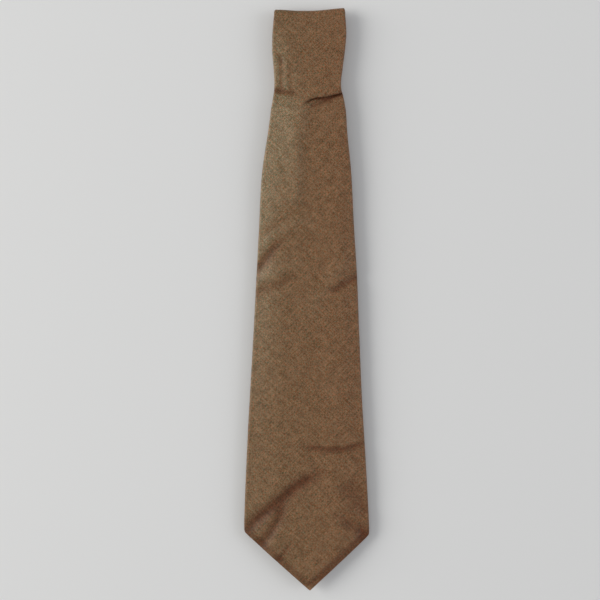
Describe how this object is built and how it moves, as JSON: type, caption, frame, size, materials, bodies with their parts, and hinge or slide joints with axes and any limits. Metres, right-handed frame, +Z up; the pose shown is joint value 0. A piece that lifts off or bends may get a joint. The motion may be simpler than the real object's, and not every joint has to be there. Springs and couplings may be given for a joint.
{
  "type": "necktie",
  "caption": "Wide bias-cut silk necktie folded in three, with interlining, tipped ends, keeper loop and lapped back seam.",
  "frame": {"origin": "on the surface that the folded tie lies on, under the middle of its outline", "axes": "+Y from the blade's tip towards the top fold, +Z up through the blade's face, +X across the tie"},
  "size_m": [0.105, 0.483, 0.012],
  "materials": {
    "silk": "woven shot silk, brown with rust and olive threads",
    "wool_interlining": "brushed wool canvas",
    "tipping_lining": "smooth acetate lining",
    "sewing_thread": "twisted silk thread",
    "label_satin": "woven satin, blank",
    "label_tape": "printed tape, blank"
  },
  "bodies": {
    "neck": {"neck_front_envelope": "silk", "neck_gusset": "silk", "first_join_seam": "sewing_thread", "neck_interlining": "wool_interlining", "neck_slip_stitch": "sewing_thread", "top_fold_envelope": "silk", "top_fold_interlining": "wool_interlining", "lower_fold_envelope": "silk", "lower_fold_interlining": "wool_interlining"},
    "blade": {"blade_envelope": "silk", "blade_interlining": "wool_interlining", "blade_tipping": "tipping_lining", "blade_tipping_stitch": "sewing_thread", "blade_bar_tack": "sewing_thread", "blade_slip_stitch": "sewing_thread", "keeper_loop": "silk", "keeper_tack_left": "sewing_thread", "keeper_tack_right": "sewing_thread", "woven_label": "label_satin", "label_stitching": "sewing_thread", "care_label": "label_tape"},
    "tail": {"tail_gusset_end": "silk", "tail_envelope": "silk", "second_join_seam": "sewing_thread", "tail_interlining": "wool_interlining", "tail_tipping": "tipping_lining", "tail_tipping_stitch": "sewing_thread", "tail_bar_tack": "sewing_thread", "tail_slip_stitch": "sewing_thread"}
  },
  "joints": [
    {"name": "blade_fold", "type": "hinge", "parent": "neck", "child": "blade", "pos_m": [0, 0.2411, 0.0079], "axis": [-1, 0, 0], "range_deg": [0, 180], "deforming": ["top_fold_envelope", "top_fold_interlining"]},
    {"name": "tail_fold", "type": "hinge", "parent": "neck", "child": "tail", "pos_m": [0, -0.21087, 0.00365], "axis": [-1, 0, 0], "range_deg": [0, 180], "deforming": ["lower_fold_envelope", "lower_fold_interlining"]}
  ]
}
